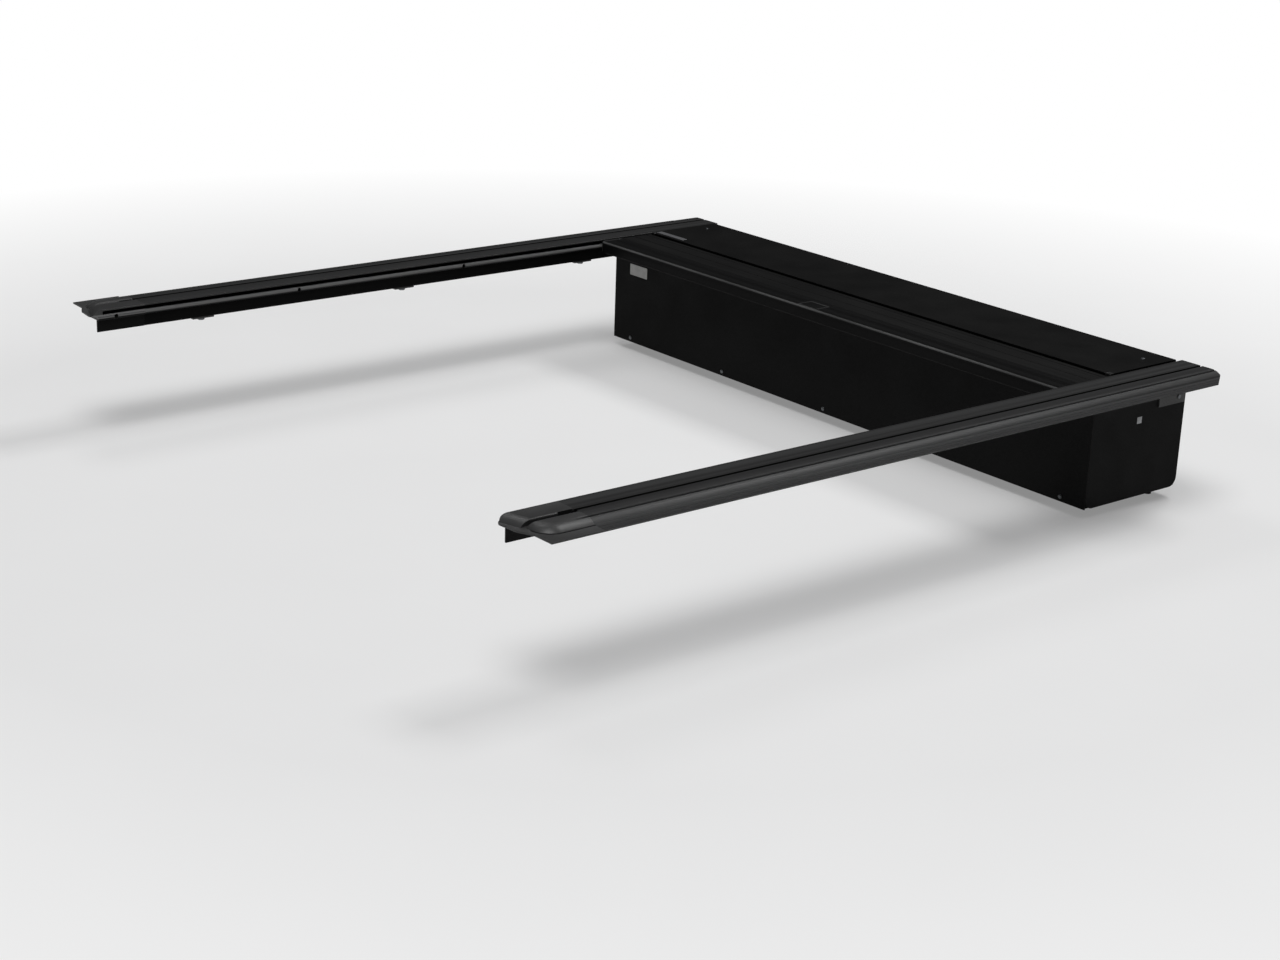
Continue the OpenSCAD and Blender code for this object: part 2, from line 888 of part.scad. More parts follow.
module hanger(s) {
  u0 = end_out - half_open;
  color("#37393b")
    on_side(s)
      difference() {
        along_y(hang_y[0], hang_y[1])
          union() {
            rect(u0, -hang_drop, u0 + hang_t, foam_t);
            rect(u0, 0, bulge_u - 6, foam_t);
          }
        for (z = hang_bolt_z)
          rod_x(u0 - e, u0 + hang_t + e, hang_bolt_d / 2 + run_gap, hang_bolt_y, z);
        for (y = hang_screw_y)
          translate([slot_c, y, -e])
            cylinder(h = foam_t + 2 * e, d = hang_screw_d + thread_gap);
      }
}

module hanger_bolts() {
  color("#6b6e70")
    for (s = [-1, 1])
      mirror([s < 0 ? 1 : 0, 0, 0]) {
        for (z = hang_bolt_z)
          translate([end_in, hang_bolt_y, z])
            rotate([0, 90, 0]) {
              cylinder(h = end_t + hang_t + 2, d = hang_bolt_d);
              translate([0, 0, -2.4])
                cylinder(h = 2.4, d1 = 1.4 * hang_bolt_d, d2 = 1.9 * hang_bolt_d);
            }
        for (y = hang_screw_y)
          translate([half_open + slot_c, y, 0])
            cylinder(h = slot_floor + hang_nut_h + 0.5, d = hang_screw_d);
      }
}

module hanger_nuts() {
  color("#6b6e70")
    for (s = [-1, 1])
      on_side(s)
        for (y = hang_screw_y)
          difference() {
            translate([slot_in_u + fit_gap, y - hang_nut_w / 2, slot_floor])
              cube([slot_in_w - 2 * fit_gap, hang_nut_w, hang_nut_h]);
            translate([slot_c, y, slot_floor - e])
              cylinder(h = hang_nut_h + 2 * e, d = hang_screw_d + thread_gap);
          }
}

// Roller

module roller_shaft() {
  round_half = end_in - 12;
  color("#8b8e90") {
    rod_x(-round_half, round_half, shaft_d / 2, roll_y, roll_z);
    for (s = [-1, 1])
      translate([s * (round_half + end_out) / 2, roll_y, roll_z])
        cube([end_out - round_half + 0.1, square_d, square_d], center = true);
  }
}

module bush(s) {
  x0 = tube_half - hub_len;
  color("#c9b37a")
    mirror([s < 0 ? 1 : 0, 0, 0])
      difference() {
        union() {
          rod_x(x0, tube_half + fit_gap, bush_r, roll_y, roll_z);
          rod_x(tube_half + fit_gap, end_in - fit_gap, bush_r + 3, roll_y, roll_z);
        }
        rod_x(x0 - e, end_in + e, shaft_d / 2 + run_gap, roll_y, roll_z);
      }
}

module roller_tube() {
  color("#9a9da0")
    difference() {
      rod_x(-tube_half, tube_half, tube_r, roll_y, roll_z);
      rod_x(-tube_half - e, tube_half + e, bore_r, roll_y, roll_z);
    }
}

module hub(s) {
  color("#2c2d2e")
    mirror([s < 0 ? 1 : 0, 0, 0])
      difference() {
        rod_x(tube_half - hub_len, tube_half, bore_r - run_gap, roll_y, roll_z);
        rod_x(tube_half - hub_len - e, tube_half + e, bush_r + run_gap, roll_y, roll_z);
        for (k = [0 : 5])
          rod_x(tube_half - 14, tube_half + e, 5, roll_y + (bush_r + bore_r) / 2 * cos(60 * k),
            roll_z + (bush_r + bore_r) / 2 * sin(60 * k));
      }
}

module spring_anchor() {
  x1 = spring_x0 - spring_wire;
  color("#77797b")
    difference() {
      rod_x(x1 - anchor_len, x1, spring_d / 2 + spring_wire, roll_y, roll_z);
      rod_x(x1 - anchor_len - e, x1 + e, shaft_d / 2 + run_gap, roll_y, roll_z);
    }
}

module spring_plug() {
  x0 = spring_x1 + spring_wire;
  color("#2c2d2e")
    difference() {
      rod_x(x0, x0 + spring_plug_len, bore_r - run_gap, roll_y, roll_z);
      rod_x(x0 - e, x0 + spring_plug_len + e, shaft_d / 2 + pin_gap, roll_y, roll_z);
    }
}

// Helical wire from the anchor to the plug, one tube of six sides
spring_rings = spring_turns * 8;
spring_sides = 6;
spring_end_gap = 0.35;
spring_start = spring_x0 - spring_wire / 2 + spring_end_gap;
spring_len = spring_x1 - spring_x0 + spring_wire - 2 * spring_end_gap;
function spring_pt(k, j) = let (
    a = 360 * j / spring_sides,
    turn = 360 * spring_turns * k / spring_rings,
    x = spring_start + spring_len * k / spring_rings + spring_wire / 2 * sin(a),
    q = spring_d / 2 + spring_wire / 2 * cos(a)
  ) [x, q * cos(turn), q * sin(turn)];

module torsion_spring() {
  pts = [for (k = [0 : spring_rings]) for (j = [0 : spring_sides - 1]) spring_pt(k, j)];
  last = spring_rings * spring_sides;
  n = spring_sides;
  faces = concat(
    [[for (j = [0 : n - 1]) j]],
    [for (k = [0 : spring_rings - 1]) for (j = [0 : n - 1])
      [k * n + j, (k + 1) * n + j, (k + 1) * n + (j + 1) % n]],
    [for (k = [0 : spring_rings - 1]) for (j = [0 : n - 1])
      [k * n + j, (k + 1) * n + (j + 1) % n, k * n + (j + 1) % n]],
    [[for (j = [n - 1 : -1 : 0]) last + j]]);
  color("#6f7375")
    translate([0, roll_y, roll_z])
      polyhedron(pts, faces);
}

// Curtain

// Corner k of the wound skin, counted inward round the roll from its top
function skin_pt(k) = let (
    wind = angles[roll_slats - k],
    r = wrap_r + layer * wind / 360,
    a = angles[roll_slats] - wind
  ) [roll_y + r * sin(a), roll_z + r * cos(a)];

// Point at share t of the way from corner a to corner b, d inside the skin
function inside(a, b, t, d) = let (v = (b - a) / norm(b - a)) a + (b - a) * t + d * [v[1], -v[0]];

// Inner outline of slat k: a tapered foot under the skin
function slat_inner(k) = let (
    a = skin_pt(k),
    b = skin_pt(k + 1),
    f = slat_foot / slat_pitch,
    h = f * hinge_share
  ) [
    inside(a, b, h, skin_t), inside(a, b, f, slat_t),
    inside(a, b, 1 - f, slat_t), inside(a, b, 1 - h, skin_t)
  ];
hinge_share = 0.35;

module curtain_roll() {
  outer = [for (k = [0 : roll_slats]) skin_pt(k)];
  inner = [for (k = [roll_slats - 1 : -1 : 0]) for (p = [3 : -1 : 0]) slat_inner(k)[p]];
  color("#202224")
    along_x(-curtain_half, curtain_half)
      polygon(concat(outer, inner));
}

module curtain_span() {
  color("#202224")
    along_x(-curtain_half, curtain_half)
      union() {
        rect(lead_y + fit_gap, slat_top - skin_t, roll_y - slide_gap, slat_top);
        for (k = [0 : span_slats - 1])
          let (y = lead_y + k * slat_pitch, h = hinge_share * slat_foot)
            polygon([
              [y + h, slat_top - skin_t], [y + slat_foot, slat_bot],
              [y + slat_pitch - slat_foot, slat_bot], [y + slat_pitch - h, slat_top - skin_t]
            ]);
      }
}

// Lead slat

module lead_slat_2d() {
  r = lead_edge_r;
  difference() {
    union() {
      rect(lip_y + r, under_top, lead_y, slat_top);
      rect(lip_y, lead_bot, lip_y + lead_wall, slat_top - r);
      translate([lip_y + r, slat_top - r])
        circle(r);
      rect(lip_y, slat_top - r - lead_wall, lip_y + r, slat_top - r);
      rect(lip_y, lead_bot, lip_y + 12, lead_bot + 2.4);
      rect(lead_y - lead_wall, slat_bot, lead_y, slat_top);
      rect(lead_y - lead_wall - rib_w, under_top - 3, lead_y, under_top + weld);
    }
    for (k = [0 : 8])
      translate([lip_y + 10 + k * (lead_depth - 14) / 8, slat_top + 0.15])
        circle(0.45, $fn = 16);
    translate([lip_y + lead_wall + 4, lead_bot])
      circle(1.6, $fn = 16);
  }
}

module lead_slat() {
  color("#1e1f21")
    difference() {
      along_x(-lead_half, lead_half)
        lead_slat_2d();
      translate([-flap_w / 2 - fit_gap, tray_y0 - fit_gap, under_top - 4])
        cube([flap_w + 2 * fit_gap, flap_d + 2 * fit_gap, slat_top]);
    }
}

module glide(s) {
  color("#2f3032")
    mirror([s < 0 ? 1 : 0, 0, 0])
      difference() {
        union() {
          along_x(lead_half, lead_half + cap_plate)
            union() {
              rect(lip_y + 1, lead_bot + 0.4, lead_y - 12, slat_top - 1);
              rect(lip_y + lead_edge_r, slat_bot, lead_y - 0.4, slat_top);
            }
          along_x(lead_half + cap_plate - weld, curtain_half)
            rect(lip_y + glide_in, slat_bot, lead_y - 2, slat_top);
          along_x(lead_half - plug_len, lead_half + weld)
            translate([lip_y + 2 * lead_edge_r + fit_gap, under_top - plug_h - fit_gap])
              square([lead_depth - 2 * lead_edge_r - lead_wall - rib_w - 2 * fit_gap, plug_h]);
        }
        rod_x(lead_half - e, lead_half + cap_plate + e, rod_d / 2 + 0.3, rod_y, rod_z);
      }
}

module lip_seal() {
  c = [lip_y + lead_wall + 4, lead_bot - 2.2];
  color("#101111")
    along_x(-lead_half + 4, lead_half - 4)
      difference() {
        union() {
          translate(c)
            circle(2.2);
          rect(c[0] - 0.8, c[1], c[0] + 0.8, lead_bot + 1.2);
        }
        translate(c)
          circle(1.2);
      }
}

// Latch: a turning crank moves two rods outward into the rails

module latch_housing() {
  color("#2a2b2d")
    difference() {
      union() {
        translate([-housing_half, rod_y - plate_back, plate_z])
          cube([2 * housing_half, plate_back + plate_fore, plate_h]);
        for (s = [-1, 1])
          translate([s * foot_x - foot_w / 2, rod_y - plate_back, plate_z])
            cube([foot_w, plate_back + plate_fore, under_top - plate_z]);
      }
      translate([0, rod_y, plate_z - e])
        cylinder(h = plate_h + 2 * e, r = spindle_r + run_gap);
      for (s = [-1, 1])
        translate([s * foot_x, housing_screw_y, plate_z - e])
          cylinder(h = 20, d = housing_screw_d + fit_gap);
    }
}

module housing_screws() {
  color("#77797b")
    for (s = [-1, 1])
      translate([s * foot_x, housing_screw_y, plate_z]) {
        cylinder(h = under_top - plate_z, d = housing_screw_d);
        translate([0, 0, -2])
          cylinder(h = 2, d1 = 1.2 * housing_screw_d, d2 = 1.8 * housing_screw_d);
      }
}

module rod_guides() {
  color("#3b3d3f")
    for (s = [-1, 1])
      for (x = guide_x)
        difference() {
          union() {
            translate([s * x - guide_w / 2, rod_y - guide_r, rod_z])
              cube([guide_w, 2 * guide_r, under_top - rod_z]);
            rod_x(s * x - guide_w / 2, s * x + guide_w / 2, guide_r, rod_y, rod_z);
          }
          rod_x(s * x - guide_w, s * x + guide_w, rod_d / 2 + run_gap, rod_y, rod_z);
        }
}

module latch_spindle() {
  color("#8b8e90")
    translate([0, rod_y, 0]) {
      translate([0, 0, disc_bot])
        cylinder(h = disc_t, r = disc_r);
      translate([0, 0, disc_top - weld])
        cylinder(h = plate_z + plate_h - disc_top, r = spindle_r);
      translate([0, 0, knob_z + 1])
        cylinder(h = disc_bot - knob_z, r = spindle_r);
      for (t = [0, 180])
        rotate([0, 0, t + latch_turn / 2])
          translate([0, crank_r, disc_top - weld])
            cylinder(h = rod_z + yoke_h - disc_top + pin_over, d = crank_pin_d);
    }
}

module latch_handle() {
  h = disc_bot - fit_gap - knob_z;
  color("#232425")
    translate([0, rod_y, knob_z])
      difference() {
        union() {
          cylinder(h = h, r = 10);
          for (s = [-1, 1]) {
            translate([s * (knob_l - 7), 0, 0])
              cylinder(h = h, r = 7);
            translate([s * (knob_l - 7) / 2, 0, h / 2])
              cube([knob_l - 7, 9, h], center = true);
          }
        }
        translate([0, 0, 0.6])
          cylinder(h = h + e, r = spindle_r + run_gap);
      }
}

module latch_rod(s) {
  x0 = disc_r + 4;
  slot_r = crank_pin_d / 2 + pin_gap;
  color("#a4a7a9")
    translate([0, rod_y, rod_z])
      rotate([0, 0, s < 0 ? 180 : 0])
        union() {
          rod_x(x0, rod_tip, rod_d / 2, 0, 0);
          translate([0, 0, -yoke_h])
            linear_extrude(yoke_t)
              difference() {
                union() {
                  rect(-yoke_x - slot_r - 4, yoke_in, x0 + 10, yoke_out);
                  rect(x0, -rod_d / 2, x0 + 10, yoke_out);
                }
                for (y = [crank_r * cos(latch_turn / 2), crank_r])
                  translate([-yoke_x, y])
                    circle(slot_r);
                rect(-yoke_x - slot_r, crank_r * cos(latch_turn / 2), -yoke_x + slot_r, crank_r);
              }
        }
}

// Lock under its hinged cover

module lock_tray() {
  w = flap_w / 2;
  color("#26272a")
    difference() {
      box([-w, tray_y0, tray_bot], [w, tray_y1, slat_top]);
      translate([-w + tray_wall, tray_y0 + tray_wall, tray_bot + tray_floor])
        cube([flap_w - 2 * tray_wall, flap_d - 2 * tray_wall, slat_top]);
      translate([0, lock_y, tray_bot - e])
        cylinder(h = 10, r = lock_d / 2 + run_gap);
      rod_x(-w + 0.4, w - 0.4, hinge_r + run_gap, hinge_y, hinge_z);
    }
}

module lock_flap() {
  w = flap_w / 2 - tray_wall - fit_gap;
  color("#2e3033")
    difference() {
      union() {
        box([-w, tray_y0 + tray_wall + fit_gap, flap_top - flap_t], [w, hinge_y, flap_top]);
        rod_x(-w, w, knuckle_r, hinge_y, hinge_z);
      }
      rod_x(-w - e, w + e, hinge_r + run_gap, hinge_y, hinge_z);
      box([-5, tray_y0 - e, flap_top - 0.9], [5, tray_y0 + 6, flap_top + e]);
    }
}

module flap_pin() {
  w = flap_w / 2 - 0.6;
  color("#8b8e90")
    rod_x(-w, w, hinge_r, hinge_y, hinge_z);
}

module lock_cylinder() {
  top = flap_top - flap_t - 1.2;
  tail_z = tray_bot - 1.6;
  color("#9c9fa1")
    translate([0, lock_y, 0])
      difference() {
        union() {
          translate([0, 0, tail_z + 0.8])
            cylinder(h = top - tail_z - 0.8, r = lock_d / 2);
          translate([-3, -3, tail_z])
            cube([6, 3 + lock_d / 2 + 1.5, 1]);
        }
        translate([-0.9, -4, top - 0.9])
          cube([1.8, 8, 2]);
      }
}

rail(-1);  // left_rail
rail(1);  // right_rail
rail_cap(-1);  // left_rail_cap
rail_cap(1);  // right_rail_cap
rail_foam(-1);  // left_rail_foam
rail_foam(1);  // right_rail_foam
clamps(-1);  // left_clamps
clamps(1);  // right_clamps
clamp_bolts(-1);  // left_clamp_bolts
clamp_bolts(1);  // right_clamp_bolts
clamp_nuts(-1);  // left_clamp_nuts
clamp_nuts(1);  // right_clamp_nuts
cap_screws();
canister_rear_panel();
canister_tray();
end_plate(-1);  // left_end_plate
end_plate(1);  // right_end_plate
panel_rivets();
canister_lid();
lid_screws();
lid_tab(-1);  // left_lid_tab
lid_tab(1);  // right_lid_tab
lid_wiper();
bulkhead_seal();
hanger(-1);  // left_hanger
hanger(1);  // right_hanger
hanger_bolts();
hanger_nuts();
drain(-1);  // left_drain
drain(1);  // right_drain
roller_shaft();
bush(-1);  // left_bush
bush(1);  // right_bush
torsion_spring();
spring_anchor();
roller_tube();
hub(-1);  // left_hub
hub(1);  // right_hub
spring_plug();
curtain_roll();
curtain_span();
lead_slat();
glide(-1);  // left_glide
glide(1);  // right_glide
lip_seal();
latch_housing();
housing_screws();
rod_guides();
latch_spindle();
latch_handle();
latch_rod(-1);  // left_latch_rod
latch_rod(1);  // right_latch_rod
lock_tray();
lock_flap();
flap_pin();
lock_cylinder();
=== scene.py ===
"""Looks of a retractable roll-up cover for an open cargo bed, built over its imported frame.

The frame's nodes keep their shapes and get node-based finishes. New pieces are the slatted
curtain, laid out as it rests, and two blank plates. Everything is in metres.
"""

import json
import math

import bpy
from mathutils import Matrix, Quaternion, Vector


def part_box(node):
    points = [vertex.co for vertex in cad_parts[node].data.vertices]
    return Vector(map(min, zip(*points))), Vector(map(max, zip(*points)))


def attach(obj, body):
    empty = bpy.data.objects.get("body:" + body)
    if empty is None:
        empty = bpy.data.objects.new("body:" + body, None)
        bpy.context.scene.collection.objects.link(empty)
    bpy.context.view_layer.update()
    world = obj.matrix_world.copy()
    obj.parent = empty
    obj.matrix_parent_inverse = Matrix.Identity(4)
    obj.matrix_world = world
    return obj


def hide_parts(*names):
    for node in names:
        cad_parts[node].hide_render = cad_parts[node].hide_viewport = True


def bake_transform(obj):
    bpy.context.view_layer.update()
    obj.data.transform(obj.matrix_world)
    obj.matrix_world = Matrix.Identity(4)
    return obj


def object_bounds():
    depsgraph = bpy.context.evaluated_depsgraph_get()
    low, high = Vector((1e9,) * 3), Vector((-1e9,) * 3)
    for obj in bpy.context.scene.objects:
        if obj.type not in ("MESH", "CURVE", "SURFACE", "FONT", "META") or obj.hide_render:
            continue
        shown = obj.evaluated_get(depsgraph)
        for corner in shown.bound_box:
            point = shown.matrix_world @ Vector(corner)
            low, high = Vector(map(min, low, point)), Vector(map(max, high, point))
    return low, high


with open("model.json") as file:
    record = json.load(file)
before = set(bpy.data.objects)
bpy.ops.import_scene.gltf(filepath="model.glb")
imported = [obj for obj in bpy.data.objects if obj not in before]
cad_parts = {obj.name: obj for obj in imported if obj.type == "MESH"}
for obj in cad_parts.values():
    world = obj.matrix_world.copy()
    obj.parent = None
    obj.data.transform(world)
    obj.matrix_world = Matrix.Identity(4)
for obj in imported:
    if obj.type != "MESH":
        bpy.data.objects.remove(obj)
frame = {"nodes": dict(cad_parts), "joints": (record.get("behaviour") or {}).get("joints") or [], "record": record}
cad_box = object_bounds()

MM = 0.001
ALONG_X, ALONG_Y = 0, 1
WHITE = (1, 1, 1, 1)
BLACK = (0, 0, 0, 1)

# Camera: where it stands, where it looks and its lens, as measured from the photograph
CAMERA_AT = Vector((3.441, -3.580, 1.213))
CAMERA_AZIMUTH = 51.19
CAMERA_ELEVATION = 18.96
CAMERA_ROLL = 1.98
CAMERA_LENS = 62.3
CAMERA_SENSOR = 36
CAMERA_REACH = 200

# Curtain
SLAT_PITCH = 38 * MM
SLAT_FOOT = 3.2 * MM
FOOT_TILT = SLAT_FOOT * 0.35
SKIN_T = 0.9 * MM
JOINT_W = 3.2 * MM
JOINT_D = 0.7 * MM
RIGID_SLATS = 3
HALVINGS = 50

# Blank plates: the badge place on the lid and the label place on the canister's rear panel
BADGE_X = (-722 * MM, -622 * MM)
BADGE_Y = (-206 * MM, -190 * MM)
LABEL_X = (-708 * MM, -642 * MM)
LABEL_Z = (-73 * MM, -46 * MM)
PLATE_T = 0.6 * MM
PLATE_CORNER = 2 * MM

# Studio
FLOOR_SIZE = 60.0
FLOOR_GREY = 0.80
FLOOR_MOTTLE = 0.01
FLOOR_FADE = (1.5, 3.2)
FLOOR_GLOW = 0.25
SKY_COLOUR = (0.97, 0.98, 1.0, 1)
SKY_RISE = (0.35, 1.0)
SKY_LIGHT = (0.015, 0.35)

# Softboxes: name, place, aim, width, height and power
SOFTBOXES = (
    ("front", (0.1, 3.9, 6.4), (0.4, -0.85, 0), 3.0, 2.0, 210),
    ("main", (2.5, -3.5, 8.0), (0.1, -0.9, 0), 4.0, 4.0, 350),
    ("side", (-3.2, -0.5, 4.6), (0.5, -0.5, 0), 1.6, 1.6, 30),
)

# Places on the rails and their caps: the lower lip of the curtain's channel, the skirt below the
# seat, the accessory slot's mouth, its gate in the cap, and the crease along the shoulder
CHANNEL_LIP_X = 735.5 * MM
CHANNEL_LIP_HALF = 2.2 * MM
CHANNEL_LIP_Z = (-2.0 * MM, 5.6 * MM)
SKIRT_TOP = -3.6 * MM
SLOT_X = 784 * MM
SLOT_HALF = 4.0 * MM
SLOT_TOP = 16.4 * MM
GATE_HALF = 6.3 * MM
GATE_REAR = -1605.5 * MM
CREASE_X = 818.5 * MM
CREASE_HALF = 2.4 * MM
CREASE_TOP = 40 * MM
CREASE_RUN_OUT = (-1619 * MM, -1582 * MM)

# The lead slat's rounded lip: the way it looks, and the line that it lies behind
LIP_WAY = (0, -0.7, 0.7)
LIP_FRONT = -363.5 * MM

# Faces that look rearward or the lip's way, by the cosines where their masks start and are full
REARWARD = (0, -1, 0)
SQUARELY = (0.90, 0.99)
ROUND_LIP = (0.70, 0.95)
FOLDED_EDGE = (0.40, 0.60)

# Borders of the masks
LINE_SOFT = 0.2 * MM
BORDER_SOFT = 0.5 * MM
EDGE_GAIN = 6.0
BEVEL_SAMPLES = 6

# Grey levels of grime in the slats' joints, of painted shade in the slot, along the crease, on
# the skirts, on rear-facing faces and on the lid's folded edge, and of painted highlights on the lips
SLOT_SHADE = 0.002
JOINT_GRIME = 0.001
RAIL_CREASE_SHADE = 0.006
CAP_CREASE_SHADE = 0.010
RAIL_SKIRT_SHADE = 0.005
CAP_SKIRT_SHADE = 0.008
RAIL_END_SHADE = 0.003
LEAD_NOSE_SHADE = 0.002
LID_EDGE_SHADE = 0.001
RAIL_LIP_HIGHLIGHT = 0.130
CAP_LIP_HIGHLIGHT = 0.160
LEAD_LIP_HIGHLIGHT = 0.110

# How far the lines of a drawn surface run, as a multiple of their width
DIE_LINE = 400
TOOL_LINE = 60
SLAT_LINE = 200

# The colour sockets of a mix node
MIX_LOW, MIX_HIGH, MIX_RESULT = 6, 7, 2


def add_node(tree, kind, inputs=None, **settings):
    """A new node, whose inputs are set to plain values or linked to other nodes' sockets."""
    node = tree.nodes.new(kind)
    for key, value in settings.items():
        setattr(node, key, value)
    for key, value in (inputs or {}).items():
        if isinstance(value, bpy.types.NodeSocket):
            tree.links.new(value, node.inputs[key])
        else:
            node.inputs[key].default_value = value
    return node


def map_range(tree, value, low, high, start, stop):
    """Goes from low to high while the value goes from start to stop."""
    inputs = {"Value": value, "From Min": start, "From Max": stop, "To Min": low, "To Max": high}
    return add_node(tree, "ShaderNodeMapRange", inputs).outputs["Result"]


class Finish:
    """A node material for one kind of surface, built up from grain, streaks, tint, edge wear and painted light and
    shade.
    """

    def __init__(self, name, roughness, metallic=0.0, specular=0.5, edge=0.8 * MM):
        self.material = bpy.data.materials.new(name)
        self.material.use_nodes = True
        self.tree = self.material.node_tree
        self.shader = self.tree.nodes["Principled BSDF"]
        self.shader.inputs["Roughness"].default_value = roughness
        self.shader.inputs["Metallic"].default_value = metallic
        self.shader.inputs["Specular IOR Level"].default_value = specular
        self.place = self.add("ShaderNodeTexCoord").outputs["Object"]
        bevel = self.add("ShaderNodeBevel", {"Radius": edge}, samples=BEVEL_SAMPLES)
        self.rounded = bevel.outputs["Normal"]
        self.normal = self.rounded
        self.feed("Normal", self.normal)

    def add(self, kind, inputs=None, **settings):
        return add_node(self.tree, kind, inputs, **settings)

    def feed(self, socket, value):
        self.tree.links.new(value, self.shader.inputs[socket])

    def fed(self, socket):
        return self.shader.inputs[socket].links[0].from_socket

    def at(self, axis):
        return self.add("ShaderNodeSeparateXYZ", {0: self.place}).outputs[axis]

    def calc(self, operation, *values):
        return self.add("ShaderNodeMath", dict(enumerate(values)), operation=operation).outputs[0]

    def times(self, a, b):
        return self.calc("MULTIPLY", a, b)

    def cosine(self, a, b):
        """Of the angle between two unit vectors."""
        dot = self.add("ShaderNodeVectorMath", {0: a, 1: b}, operation="DOT_PRODUCT")
        return dot.outputs["Value"]

    def scaled(self, scale):
        return self.add("ShaderNodeMapping", {"Vector": self.place, "Scale": scale}).outputs[0]

    def noise(self, size, detail=3.0, stretch=(1, 1, 1)):
        """Soft noise whose lumps are about size wide, drawn out along each axis by stretch."""
        place = self.scaled([1 / (size * s) for s in stretch])
        inputs = {"Vector": place, "Scale": 1.0, "Detail": detail}
        return self.add("ShaderNodeTexNoise", inputs).outputs["Fac"]

    def cells(self, size):
        """Rounded pebbles of about that size, as in a moulded grain."""
        inputs = {"Vector": self.scaled([1 / size] * 3), "Scale": 1.0}
        return self.add("ShaderNodeTexVoronoi", inputs, feature="SMOOTH_F1").outputs["Distance"]

    def spread(self, value, low, high, start=0.35, stop=0.65):
        """Stretches a mask's middle range from low to high."""
        return map_range(self.tree, value, low, high, start, stop)

    def true_normal(self):
        return self.add("ShaderNodeNewGeometry").outputs["Normal"]

    def edges(self):
        """Mask of the outer and inner edges, where the rounded normal leaves the true one."""
        agree = self.cosine(self.rounded, self.true_normal())
        return self.spread(agree, 1.0, 0.0, 1 - 1 / EDGE_GAIN, 1.0)

    def facing(self, way, start, stop):
        """Mask of the faces that look one way, from the cosines start to stop."""
        agree = self.cosine(self.true_normal(), Vector(way).normalized())
        return self.spread(agree, 0, 1, start, stop)

    def line_along_y(self, x, half, top):
        """Mask of a line along Y at x on either side of the middle, below the height top."""
        out = self.calc("ABSOLUTE", self.at("X"))
        off = self.calc("ABSOLUTE", self.calc("SUBTRACT", out, x))
        near = self.spread(off, 1, 0, half - LINE_SOFT, half + LINE_SOFT)
        return self.times(near, self.spread(self.at("Z"), 1, 0, top, top + 2 * LINE_SOFT))

    def ahead_of(self, y):
        """Mask of what lies on the front's side of a line across the object."""
        return self.spread(self.at("Y"), 0, 1, y - BORDER_SOFT, y + BORDER_SOFT)

    def behind(self, y):
        """Mask of what lies on the rear's side of a line across the object."""
        return self.spread(self.at("Y"), 1, 0, y - BORDER_SOFT, y + BORDER_SOFT)

    def channel_lip(self):
        """Mask of the upper half of the lower lips, which the slats run over."""
        low, top = CHANNEL_LIP_Z
        above = self.spread(self.at("Z"), 0, 1, low - MM, low + MM)
        return self.times(self.line_along_y(CHANNEL_LIP_X, CHANNEL_LIP_HALF, top), above)

    def skirt(self):
        """Mask of what hangs below the seat, which is given painted shade."""
        return self.spread(self.at("Z"), 1, 0, SKIRT_TOP, SKIRT_TOP + MM)

    def mixed(self, mask, low, high):
        inputs = {"Factor": mask, MIX_LOW: low, MIX_HIGH: high}
        return self.add("ShaderNodeMix", inputs, data_type="RGBA").outputs[MIX_RESULT]

    def tint(self, mask, low, high):
        """Colours the surface from low to high by a mask."""
        self.feed("Base Color", self.mixed(mask, (*low, 1), (*high, 1)))

    def over(self, mask, colour):
        """Lays a colour over the tint where the mask is 1."""
        self.feed("Base Color", self.mixed(mask, self.fed("Base Color"), (*colour, 1)))

    def rough(self, mask, low, high):
        self.feed("Roughness", self.spread(mask, low, high))

    def dull(self, mask):
        """Takes the gloss off where the mask is 1."""
        self.feed("Roughness", self.calc("MAXIMUM", self.fed("Roughness"), mask))

    def matt(self, mask):
        """Takes the mirror-like shine away where the mask is 1."""
        self.feed("Specular Tint", self.mixed(mask, WHITE, BLACK))

    def relief(self, height, depth):
        """Raises the surface by depth where the height mask is 1."""
        inputs = {"Height": height, "Distance": depth, "Strength": 1.0, "Normal": self.normal}
        self.normal = self.add("ShaderNodeBump", inputs).outputs["Normal"]
        self.feed("Normal", self.normal)


def grey(level, warmth=0.0):
    return (level * (1 + warmth), level, level * (1 - warmth))


def drawn(along, line):
    """Stretch of a noise that is drawn out into lines along one axis, or not at all."""
    return tuple(line if axis == along else 1 for axis in range(3))


def extruded(name, base, along, roughness, specular, edge_wear_and_highlight=3.5):
    """Black anodised extrusion: die lines drawn along one axis, a fine tooth, and edges made paler by wear and a
    painted highlight.
    """
    f = Finish(name, roughness, specular=specular)
    lines = f.noise(1.6 * MM, 2, drawn(along, DIE_LINE))
    bands = f.noise(9 * MM, 2, drawn(along, DIE_LINE))
    smudge = f.noise(140 * MM, 4)
    f.tint(f.spread(bands, 0, 1), grey(base * 0.75), grey(base * 1.25, -0.01))
    f.over(f.times(f.spread(smudge, 0, 0.2), f.spread(lines, 0, 1)), grey(base * 2.1, 0.02))
    # Paler edges: partly wear, partly a painted highlight.
    f.over(f.times(f.edges(), f.spread(f.noise(6 * MM), 0, 0.5)), grey(base * edge_wear_and_highlight))
    f.rough(bands, roughness - 0.07, roughness + 0.07)
    f.relief(lines, 0.02 * MM)
    f.relief(f.noise(0.5 * MM, 2), 0.012 * MM)
    return f


